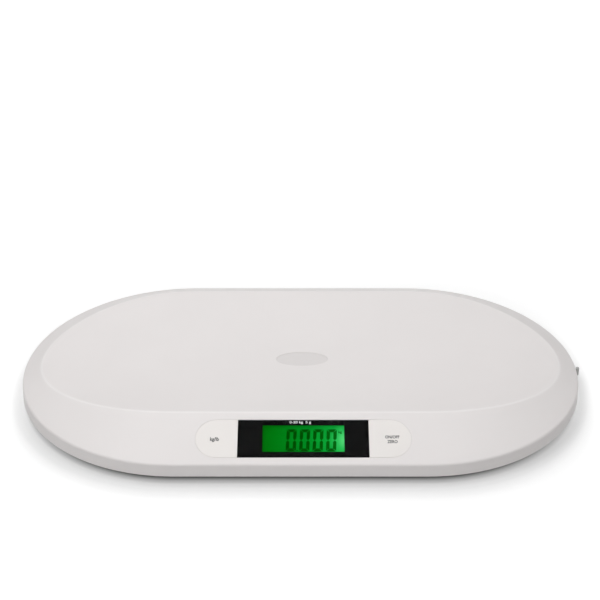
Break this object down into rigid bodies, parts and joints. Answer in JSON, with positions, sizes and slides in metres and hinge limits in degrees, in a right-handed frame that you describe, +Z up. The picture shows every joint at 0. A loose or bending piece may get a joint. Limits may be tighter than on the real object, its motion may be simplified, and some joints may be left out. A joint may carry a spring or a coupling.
{
  "type": "baby scale",
  "caption": "Long oval baby weighing scale with a troughed platform, a sloping green display with two keys, and a pull-out measuring tape at one end.",
  "frame": {"origin": "centre of the bounding box, tape tab included, on the plane that the rubber feet stand on", "axes": "+X along the platform toward the tape end, +Y from the display to the back, +Z up"},
  "size_m": [0.5634, 0.328, 0.0447],
  "materials": {
    "cover_white": "satin",
    "base_white": "satin",
    "badge_grey": "satin",
    "clear_window": "polished",
    "mask_black": "gloss",
    "display_green": "gloss",
    "light_guide": "satin",
    "elastomer": "matte",
    "key_white": "satin",
    "board_green": "satin",
    "part_black": "matte",
    "steel": "brushed",
    "contact_metal": "bright",
    "foot_rubber": "matte",
    "holder_white": "matte",
    "wire_red": "satin",
    "wire_black": "satin",
    "cell_jacket": "satin",
    "tape_white": "satin"
  },
  "bodies": {
    "housing": {"platform_cover": "cover_white", "base_shell": "base_white", "tray_badge": "badge_grey", "display_window": "clear_window", "window_mask": "mask_black", "lcd_panel": "display_green", "backlight_plate": "light_guide", "contact_strip": "elastomer", "lcd_frame": "holder_white", "main_board": "board_green", "unit_switch": "part_black", "power_switch": "part_black", "controller_chip": "part_black", "board_screw_1": "steel", "board_screw_2": "steel", "case_screw_1": "steel", "case_screw_2": "steel", "case_screw_3": "steel", "case_screw_4": "steel", "battery_1": "cell_jacket", "battery_2": "cell_jacket", "battery_3": "cell_jacket", "battery_4": "cell_jacket", "battery_contact_plus": "contact_metal", "battery_contact_minus": "contact_metal", "battery_contact_middle": "contact_metal", "battery_contact_front": "contact_metal", "battery_contact_back": "contact_metal", "battery_lead_red": "wire_red", "battery_lead_black": "wire_black", "tape_guide": "holder_white", "rewind_spring": "steel", "foot_pad_left_front": "foot_rubber", "foot_cup_left_front": "base_white", "load_cell_left_front": "steel", "cell_holder_left_front": "holder_white", "cell_lead_left_front": "wire_red", "foot_pad_left_back": "foot_rubber", "foot_cup_left_back": "base_white", "load_cell_left_back": "steel", "cell_holder_left_back": "holder_white", "cell_lead_left_back": "wire_black", "foot_pad_right_front": "foot_rubber", "foot_cup_right_front": "base_white", "load_cell_right_front": "steel", "cell_holder_right_front": "holder_white", "cell_lead_right_front": "wire_red", "foot_pad_right_back": "foot_rubber", "foot_cup_right_back": "base_white", "load_cell_right_back": "steel", "cell_holder_right_back": "holder_white", "cell_lead_right_back": "wire_black"},
    "unit_key": {"unit_key": "key_white"},
    "power_key": {"power_key": "key_white"},
    "tape_button": {"tape_button": "tape_white"},
    "tape": {"tape_blade": "tape_white", "tape_tab": "tape_white"},
    "tape_spool": {"tape_spool": "tape_white"},
    "battery_door": {"battery_door": "base_white"}
  },
  "joints": [
    {"name": "unit_key_press", "type": "slide", "parent": "housing", "child": "unit_key", "axis": [0, 0.4386, -0.8987], "range_m": [0, 0.0008], "stiffness_N_per_m": 1500, "springref_m": -0.0004},
    {"name": "power_key_press", "type": "slide", "parent": "housing", "child": "power_key", "axis": [0, 0.4386, -0.8987], "range_m": [0, 0.0008], "stiffness_N_per_m": 1500, "springref_m": -0.0004},
    {"name": "tape_button_press", "type": "slide", "parent": "housing", "child": "tape_button", "axis": [0, 0, 1], "range_m": [0, 0.0009], "stiffness_N_per_m": 1200, "springref_m": -0.0005},
    {"name": "spool_spin", "type": "hinge", "parent": "housing", "child": "tape_spool", "pos_m": [0.1443, 0.0196, 0.0144], "axis": [0, 0, 1], "range_deg": [0, 358]},
    {"name": "tape_pull", "type": "slide", "parent": "housing", "child": "tape", "axis": [1, 0, 0], "range_m": [0, 0.11]},
    {"name": "battery_door_swing", "type": "hinge", "parent": "housing", "child": "battery_door", "pos_m": [-0.08745, 0.012, 0.0094], "axis": [0, 1, 0], "range_deg": [0, 80]}
  ],
  "couplings": [
    {"joint": "tape_pull", "follows": "spool_spin", "m_per_rad": 0.0176}
  ]
}
